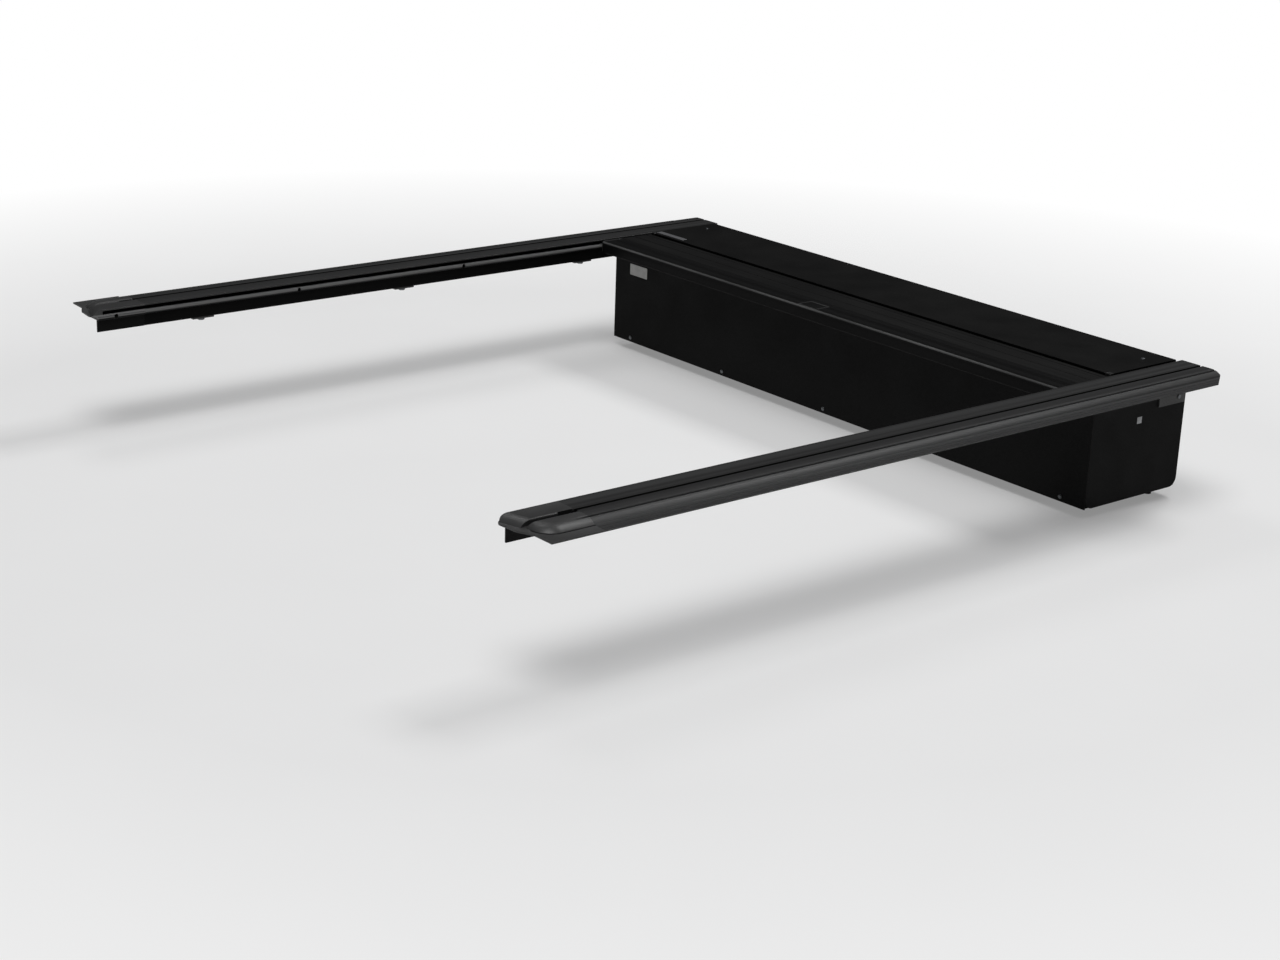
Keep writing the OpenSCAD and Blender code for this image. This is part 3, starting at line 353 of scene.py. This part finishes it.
def powder_coat(name, base, roughness, specular):
    """Textured black powder coat: orange peel, a fine tooth, faint dust, and edges made paler by wear and a
    painted highlight.
    """
    f = Finish(name, roughness, specular=specular)
    peel = f.noise(2.2 * MM, 4)
    dust = f.noise(90 * MM, 5)
    tooth = f.noise(0.8 * MM)
    f.tint(f.spread(peel, 0, 1), grey(base * 0.7), grey(base * 1.3))
    f.over(f.times(f.spread(dust, 0, 0.3), f.spread(tooth, 0, 1)), grey(base * 3, 0.03))
    # Paler edges: partly wear, partly a painted highlight.
    f.over(f.times(f.edges(), f.spread(f.noise(7 * MM), 0, 0.4)), grey(base * 4))
    f.rough(dust, roughness - 0.05, roughness + 0.08)
    f.relief(peel, 0.03 * MM)
    return f


def moulded(name, base, roughness, grain=0.9 * MM, edge_wear_and_highlight=2.6, specular=0.4):
    """Moulded black plastic with a pebble grain, rubbed smoother at its edges and made paler there by wear and a
    painted highlight.
    """
    f = Finish(name, roughness, specular=specular, edge=1.2 * MM)
    pebbles = f.cells(grain)
    flow = f.noise(60 * MM, 4, (1, 3, 1))
    f.tint(f.spread(flow, 0, 1), grey(base * 0.8), grey(base * 1.25))
    # Paler edges: partly wear, partly a painted highlight.
    f.over(f.times(f.edges(), f.spread(f.noise(5 * MM), 0, 0.4)), grey(base * edge_wear_and_highlight))
    f.rough(flow, roughness - 0.06, roughness + 0.06)
    f.relief(pebbles, -0.05 * MM)
    return f


def rail_metal():
    """The extrusion of the rails: painted shade in the slot's mouth, along the crease, on the
    rear-facing end and on the skirt, and a painted highlight along the channel's lower lip."""
    f = extruded("rail_black", base=0.024, along=ALONG_Y, roughness=0.42, specular=0.20)
    slot = f.line_along_y(SLOT_X, SLOT_HALF, SLOT_TOP)
    crease = f.line_along_y(CREASE_X, CREASE_HALF, CREASE_TOP)
    skirt = f.skirt()
    # Painted shade: darkens the slot's mouth.
    f.over(slot, grey(SLOT_SHADE))
    # Painted shade: darkens the crease along the shoulder.
    f.over(crease, grey(RAIL_CREASE_SHADE))
    # Painted shade: darkens the skirt below the seat.
    f.over(skirt, grey(RAIL_SKIRT_SHADE))
    # Painted shade: darkens the faces that look squarely rearward.
    f.over(f.facing(REARWARD, *SQUARELY), grey(RAIL_END_SHADE))
    # Painted highlight: a pale line along the upper half of the channel's lower lip.
    f.over(f.channel_lip(), grey(RAIL_LIP_HIGHLIGHT))
    # Takes the skirt's reflection away, as part of its painted shade.
    f.matt(skirt)
    f.dull(slot)
    f.dull(crease)
    return f.material


def lead_metal():
    """The extrusion of the lead slat, with a painted highlight along its rounded lip and painted shade on its
    nose.
    """
    f = extruded("lead_black", base=0.006, along=ALONG_X, roughness=0.40, specular=0.04, edge_wear_and_highlight=1.5)
    # A patchy painted highlight along the rounded lip.
    patches = f.spread(f.noise(30 * MM, 3, (8, 1, 1)), 0.5, 1)
    lip_highlight = f.times(f.facing(LIP_WAY, *ROUND_LIP), patches)
    # Painted shade on the rear-facing nose.
    f.over(f.facing(REARWARD, *SQUARELY), grey(LEAD_NOSE_SHADE))
    # Lays the painted highlight on the lip.
    f.over(f.times(lip_highlight, f.behind(LIP_FRONT)), grey(LEAD_LIP_HIGHLIGHT))
    return f.material


def lid_metal():
    """The coated lid, with painted shade along the folded rear edge that wipes the slats."""
    f = powder_coat("lid_coat", base=0.007, roughness=0.52, specular=0.03)
    # Painted shade along the folded rear edge.
    f.over(f.facing(REARWARD, *FOLDED_EDGE), grey(LID_EDGE_SHADE))
    return f.material


def cap_plastic():
    """The moulding of the rail caps: painted shade in the slot's gate, where the crease runs out and
    on the skirt, and a painted highlight along the channel's lower lip."""
    f = moulded("cap_plastic", base=0.035, roughness=0.44)
    gate = f.times(f.line_along_y(SLOT_X, GATE_HALF, SLOT_TOP), f.ahead_of(GATE_REAR))
    run_out = f.spread(f.at("Y"), 0, 1, *CREASE_RUN_OUT)
    crease = f.times(f.line_along_y(CREASE_X, CREASE_HALF, CREASE_TOP), run_out)
    skirt = f.skirt()
    # Painted shade: darkens the crease where it runs out onto the cap.
    f.over(crease, grey(CAP_CREASE_SHADE))
    # Painted shade: darkens the slot's gate in the cap.
    f.over(gate, grey(SLOT_SHADE))
    # Painted shade: darkens the skirt below the seat.
    f.over(skirt, grey(CAP_SKIRT_SHADE))
    # Painted highlight: a pale line along the channel's lower lip.
    f.over(f.channel_lip(), grey(CAP_LIP_HIGHLIGHT))
    # Takes the skirt's reflection away, as part of its painted shade.
    f.matt(skirt)
    f.dull(crease)
    f.dull(gate)
    return f.material


def rubber(name, base):
    """Dull rubber or foam with small open pores and a grey bloom."""
    f = Finish(name, 0.85, specular=0.2)
    bloom = f.noise(40 * MM, 4)
    f.tint(f.spread(bloom, 0, 1), grey(base * 0.7), grey(base * 1.6, 0.02))
    f.relief(f.cells(1.1 * MM), 0.08 * MM)
    return f.material


def bare_metal(name, colour, roughness, along=None, tarnish=0.5):
    """Plated, drawn or machined metal, with tool lines along one axis or fine scratches all over."""
    f = Finish(name, roughness, metallic=1.0, edge=0.5 * MM)
    lines = f.noise(0.5 * MM, 3, drawn(along, TOOL_LINE))
    stain = f.noise(18 * MM, 4)
    f.tint(f.spread(stain, 0, 1), [c * tarnish for c in colour], colour)
    f.rough(lines, roughness - 0.08, roughness + 0.12)
    f.relief(lines, 0.01 * MM)
    return f.material


def vinyl(name, base):
    """Grained vinyl that is laminated over the slats, with faint lines along them and grime in
    their joints."""
    f = Finish(name, 0.52, specular=0.05, edge=0.5 * MM)
    lines = f.noise(2.5 * MM, 2, drawn(ALONG_X, SLAT_LINE))
    wear = f.noise(120 * MM, 4, (2, 1, 1))
    grime = f.add("ShaderNodeAttribute", attribute_name="grime").outputs["Fac"]
    f.tint(f.spread(lines, 0, 1), grey(base * 0.85), grey(base * 1.2))
    f.over(f.times(f.spread(wear, 0, 0.3), f.spread(lines, 0, 1)), grey(base * 2.5, 0.02))
    f.over(f.spread(grime, 0, 1, 0.0, 0.5), grey(JOINT_GRIME))
    f.rough(wear, 0.46, 0.6)
    f.relief(f.cells(0.7 * MM), 0.05 * MM)
    f.relief(lines, 0.02 * MM)
    return f.material


def blank_label(name, colour):
    """Printed film with nothing on it: slightly wrinkled and yellowed."""
    f = Finish(name, 0.42, specular=0.4, edge=0.2 * MM)
    stain = f.noise(15 * MM, 5)
    f.tint(f.spread(stain, 0, 1), [c * 0.85 for c in colour], colour)
    f.relief(f.noise(6 * MM, 2), 0.05 * MM)
    return f.material


RAIL = rail_metal()
LEAD = lead_metal()
LID = lid_metal()
SHEET = powder_coat("sheet_coat", base=0.007, roughness=0.60, specular=0.06).material
BRACKET = powder_coat("bracket_coat", base=0.030, roughness=0.50, specular=0.4).material
CAP = cap_plastic()
# The trim's and the flap's edges reach eight times their base grey: a painted highlight outline.
TRIM = moulded("trim_plastic", 0.007, 0.50, grain=0.6 * MM, edge_wear_and_highlight=8).material
TRAY = moulded("tray_plastic", 0.060, 0.50, grain=0.6 * MM).material
FLAP = moulded("flap_plastic", 0.005, 0.50, grain=0.6 * MM, edge_wear_and_highlight=8, specular=0.05).material
NYLON = moulded("nylon", 0.030, 0.42, grain=1.4 * MM).material
HUB = moulded("hub_plastic", 0.045, 0.48).material
FOAM = rubber("foam_tape", 0.016)
SEAL = rubber("seal_rubber", 0.010)
ZINC = bare_metal("black_zinc", (0.20, 0.21, 0.22), 0.38)
OXIDE = bare_metal("black_oxide", (0.035, 0.036, 0.038), 0.50)
STEEL = bare_metal("drawn_steel", (0.26, 0.265, 0.27), 0.34, ALONG_X, tarnish=0.75)
SPRING = bare_metal("spring_wire", (0.22, 0.22, 0.23), 0.35)
ALLOY = bare_metal("mill_alloy", (0.62, 0.63, 0.64), 0.36, ALONG_X, tarnish=0.8)
BRONZE = bare_metal("sintered_bronze", (0.50, 0.36, 0.18), 0.45)
CHROME = bare_metal("satin_zinc", (0.55, 0.56, 0.57), 0.30)
VINYL = vinyl("slat_vinyl", 0.008)
BADGE = blank_label("badge_film", (0.11, 0.11, 0.115))
LABEL = blank_label("label_film", (0.52, 0.52, 0.50))

# The finish of each of the record's material slots
SLOT_FINISH = {
    "rail_metal": RAIL,
    "cap_plastic": CAP,
    "foam": FOAM,
    "clamp_metal": BRACKET,
    "fastener_steel": ZINC,
    "sheet_metal": SHEET,
    "lid_metal": LID,
    "tab_plastic": TRIM,
    "seal_rubber": SEAL,
    "slat_sheet": VINYL,
    "lead_metal": LEAD,
    "glide_nylon": NYLON,
    "shaft_steel": STEEL,
    "bush_bronze": BRONZE,
    "spring_steel": SPRING,
    "tube_metal": ALLOY,
    "hub_plastic": HUB,
    "lock_metal": CHROME,
}

# Nodes whose finish isn't their slot's
NODE_FINISH = {"lock_tray": TRAY, "lock_flap": FLAP, "cap_screws": OXIDE}


def dress(obj, material):
    obj.data.materials.clear()
    obj.data.materials.append(material)


for sub in frame["record"]["subparts"]:
    finish = NODE_FINISH.get(sub["node"], SLOT_FINISH[sub["material_slot"]])
    dress(frame["nodes"][sub["node"]], finish)


def new_mesh(name, verts, faces, material):
    mesh = bpy.data.meshes.new(name)
    mesh.from_pydata(verts, [], faces)
    mesh.update()
    obj = bpy.data.objects.new(name, mesh)
    bpy.context.scene.collection.objects.link(obj)
    dress(obj, material)
    return obj


# Curtain: at rest three slats show behind the lead slat, and the rest is gathered under the lid.
# Each point's rest place is worked out from a share of the slide, chosen so that all slats would
# be alike when drawn out if each point followed the lead slat by its share.


def slide_range(joint):
    return next(j for j in frame["joints"] if j["name"] == joint)["range_m"][1]


def gathered(drawn_y, y_fixed, y_led, travel):
    """Where a point rests whose place is drawn_y when the curtain is drawn out."""
    low, high = 0.0, 1.0
    for _ in range(HALVINGS):
        t = (low + high) / 2
        rest = y_fixed + (y_led - y_fixed) * t
        if rest - travel * t * t * (3 - 2 * t) > drawn_y:
            low = t
        else:
            high = t
    return y_fixed + (y_led - y_fixed) * (low + high) / 2


def make_curtain():
    """One slatted piece, each slat a skin with a thicker middle and a sunk joint at either edge."""
    low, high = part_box("curtain_span")
    travel = slide_range("cover_slide")
    thick = high.z - low.z
    y_led = low.y + RIGID_SLATS * SLAT_PITCH
    slats = math.floor((high.y - low.y + travel) / SLAT_PITCH)
    section = [
        (0, -JOINT_D), (JOINT_W / 2, 0), (SLAT_PITCH - JOINT_W / 2, 0), (SLAT_PITCH, -JOINT_D),
        (SLAT_PITCH, -SKIN_T), (SLAT_PITCH - FOOT_TILT, -SKIN_T), (SLAT_PITCH - SLAT_FOOT, -thick),
        (SLAT_FOOT, -thick), (FOOT_TILT, -SKIN_T), (0, -SKIN_T),
    ]
    count = len(section)
    verts, faces, grime = [], [], []
    for k in range(slats):
        first = len(verts)
        for x in (low.x, high.x):
            for dy, dz in section:
                y = low.y + k * SLAT_PITCH + dy
                if y > y_led:
                    y = gathered(y - travel, high.y, y_led, travel)
                verts.append((x, y, high.z + dz))
                grime.append(1.0 if dz == -JOINT_D else 0.0)
        faces.append(tuple(range(first, first + count)))
        faces.append(tuple(range(first + 2 * count - 1, first + count - 1, -1)))
        for i in range(count):
            j = (i + 1) % count
            faces.append((first + i, first + count + i, first + count + j, first + j))
    curtain = new_mesh("curtain", verts, faces, VINYL)
    curtain.data.attributes.new("grime", "FLOAT", "POINT").data.foreach_set("value", grime)
    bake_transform(curtain)
    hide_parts("curtain_span")


make_curtain()


# Blank plates


def rounded_rectangle(u, v, radius, steps=6):
    """Corner-rounded outline, from the two ranges of its sides."""
    outline = []
    for i, (cu, cv) in enumerate([(u[1], v[1]), (u[0], v[1]), (u[0], v[0]), (u[1], v[0])]):
        centre_u = cu - radius if cu == u[1] else cu + radius
        centre_v = cv - radius if cv == v[1] else cv + radius
        for s in range(steps + 1):
            a = math.radians(90 * (i + s / steps))
            outline.append((centre_u + radius * math.cos(a), centre_v + radius * math.sin(a)))
    return outline


def make_plate(name, u, v, place, material):
    """Thin plate with a bevelled rim; place(u, v, h) gives a point at height h over its seat."""
    rim = PLATE_T / 2
    foot = rounded_rectangle(u, v, PLATE_CORNER)
    top = rounded_rectangle((u[0] + rim, u[1] - rim), (v[0] + rim, v[1] - rim), PLATE_CORNER)
    levels = ((foot, 0), (foot, PLATE_T - rim), (top, PLATE_T))
    verts = [place(*p, h) for outline, h in levels for p in outline]
    n = len(foot)
    faces = [tuple(range(n - 1, -1, -1)), tuple(range(2 * n, 3 * n))]
    for level in range(2):
        for i in range(n):
            a, b = level * n + i, level * n + (i + 1) % n
            faces.append((a, b, b + n, a + n))
    plate = new_mesh(name, verts, faces, material)
    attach(plate, "frame")
    return plate


lid_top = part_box("canister_lid")[1].z
panel_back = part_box("canister_rear_panel")[0].y
badge = make_plate("badge_plate", BADGE_X, BADGE_Y, lambda x, y, h: (x, y, lid_top + h), BADGE)
label = make_plate("label_plate", LABEL_X, LABEL_Z, lambda x, z, h: (x, panel_back - h, z), LABEL)


# Studio


def mirrored(f):
    """One for rays from the camera and for rays that gloss or glass sends on, nought for light."""
    seen = f.add("ShaderNodeLightPath").outputs
    gloss = f.calc("MAXIMUM", seen["Is Camera Ray"], seen["Is Glossy Ray"])
    return f.calc("MAXIMUM", gloss, seen["Is Transmission Ray"])


def make_floor():
    """Pale floor that takes the object's shadow and fades to plain white far away from it."""
    z = cad_box[0].z
    corners = [(x * FLOOR_SIZE, y * FLOOR_SIZE, z) for x, y in ((-1, -1), (1, -1), (1, 1), (-1, 1))]
    centre = (cad_box[0] + cad_box[1]) / 2
    f = Finish("studio_floor", 0.9, specular=0.1)
    pale, dark = grey(FLOOR_GREY + FLOOR_MOTTLE), grey(FLOOR_GREY - FLOOR_MOTTLE)
    f.tint(f.spread(f.noise(0.6, 3), 0, 1), dark, pale)
    away = f.add("ShaderNodeVectorMath", {0: f.place, 1: centre}, operation="DISTANCE")
    fade = f.spread(away.outputs["Value"], FLOOR_GLOW, 1, *FLOOR_FADE)
    fade = f.times(fade, mirrored(f))
    white = f.add("ShaderNodeEmission", {"Color": WHITE, "Strength": 1.0})
    mix = f.add("ShaderNodeMixShader", {0: fade, 1: f.shader.outputs[0], 2: white.outputs[0]})
    f.tree.links.new(mix.outputs[0], f.tree.nodes["Material Output"].inputs["Surface"])
    floor = new_mesh("floor", corners, [(0, 1, 2, 3)], f.material)


def make_world():
    """Sky that is dim at the horizon and brighter overhead; the camera itself sees plain white."""
    world = bpy.data.worlds.new("studio")
    world.use_nodes = True
    tree = world.node_tree
    way = add_node(tree, "ShaderNodeTexCoord").outputs["Generated"]
    up = add_node(tree, "ShaderNodeSeparateXYZ", {0: way}).outputs["Z"]
    sky = tree.nodes["Background"]
    sky.inputs["Color"].default_value = SKY_COLOUR
    tree.links.new(map_range(tree, up, *SKY_LIGHT, *SKY_RISE), sky.inputs["Strength"])
    backdrop = add_node(tree, "ShaderNodeBackground", {"Color": WHITE, "Strength": 1.0})
    seen = add_node(tree, "ShaderNodeLightPath").outputs["Is Camera Ray"]
    shaders = {0: seen, 1: sky.outputs[0], 2: backdrop.outputs[0]}
    mix = add_node(tree, "ShaderNodeMixShader", shaders)
    tree.links.new(mix.outputs[0], tree.nodes["World Output"].inputs["Surface"])
    bpy.context.scene.world = world


def make_softbox(name, at, aim, width, height, power):
    lamp = bpy.data.lights.new(name, "AREA")
    lamp.shape = "RECTANGLE"
    lamp.size, lamp.size_y = width, height
    lamp.energy = power
    box = bpy.data.objects.new(name, lamp)
    box.location = at
    box.rotation_mode = "QUATERNION"
    box.rotation_quaternion = (Vector(aim) - Vector(at)).to_track_quat("-Z", "Y")
    box.visible_camera = False
    bpy.context.scene.collection.objects.link(box)


def make_camera():
    azimuth, elevation = math.radians(CAMERA_AZIMUTH), math.radians(CAMERA_ELEVATION)
    level = math.cos(elevation)
    ahead = Vector((-math.sin(azimuth) * level, math.cos(azimuth) * level, -math.sin(elevation)))
    roll = Quaternion((0, 0, 1), math.radians(CAMERA_ROLL))
    lens = bpy.data.cameras.new("camera")
    lens.sensor_width = CAMERA_SENSOR
    lens.sensor_fit = "HORIZONTAL"
    lens.lens = CAMERA_LENS
    lens.clip_end = CAMERA_REACH
    camera = bpy.data.objects.new("camera", lens)
    camera.location = CAMERA_AT
    camera.rotation_mode = "QUATERNION"
    camera.rotation_quaternion = ahead.to_track_quat("-Z", "Y") @ roll
    bpy.context.scene.collection.objects.link(camera)
    bpy.context.scene.camera = camera


make_floor()
make_world()
for softbox in SOFTBOXES:
    make_softbox(*softbox)
make_camera()
bpy.context.scene.view_settings.view_transform = "Standard"
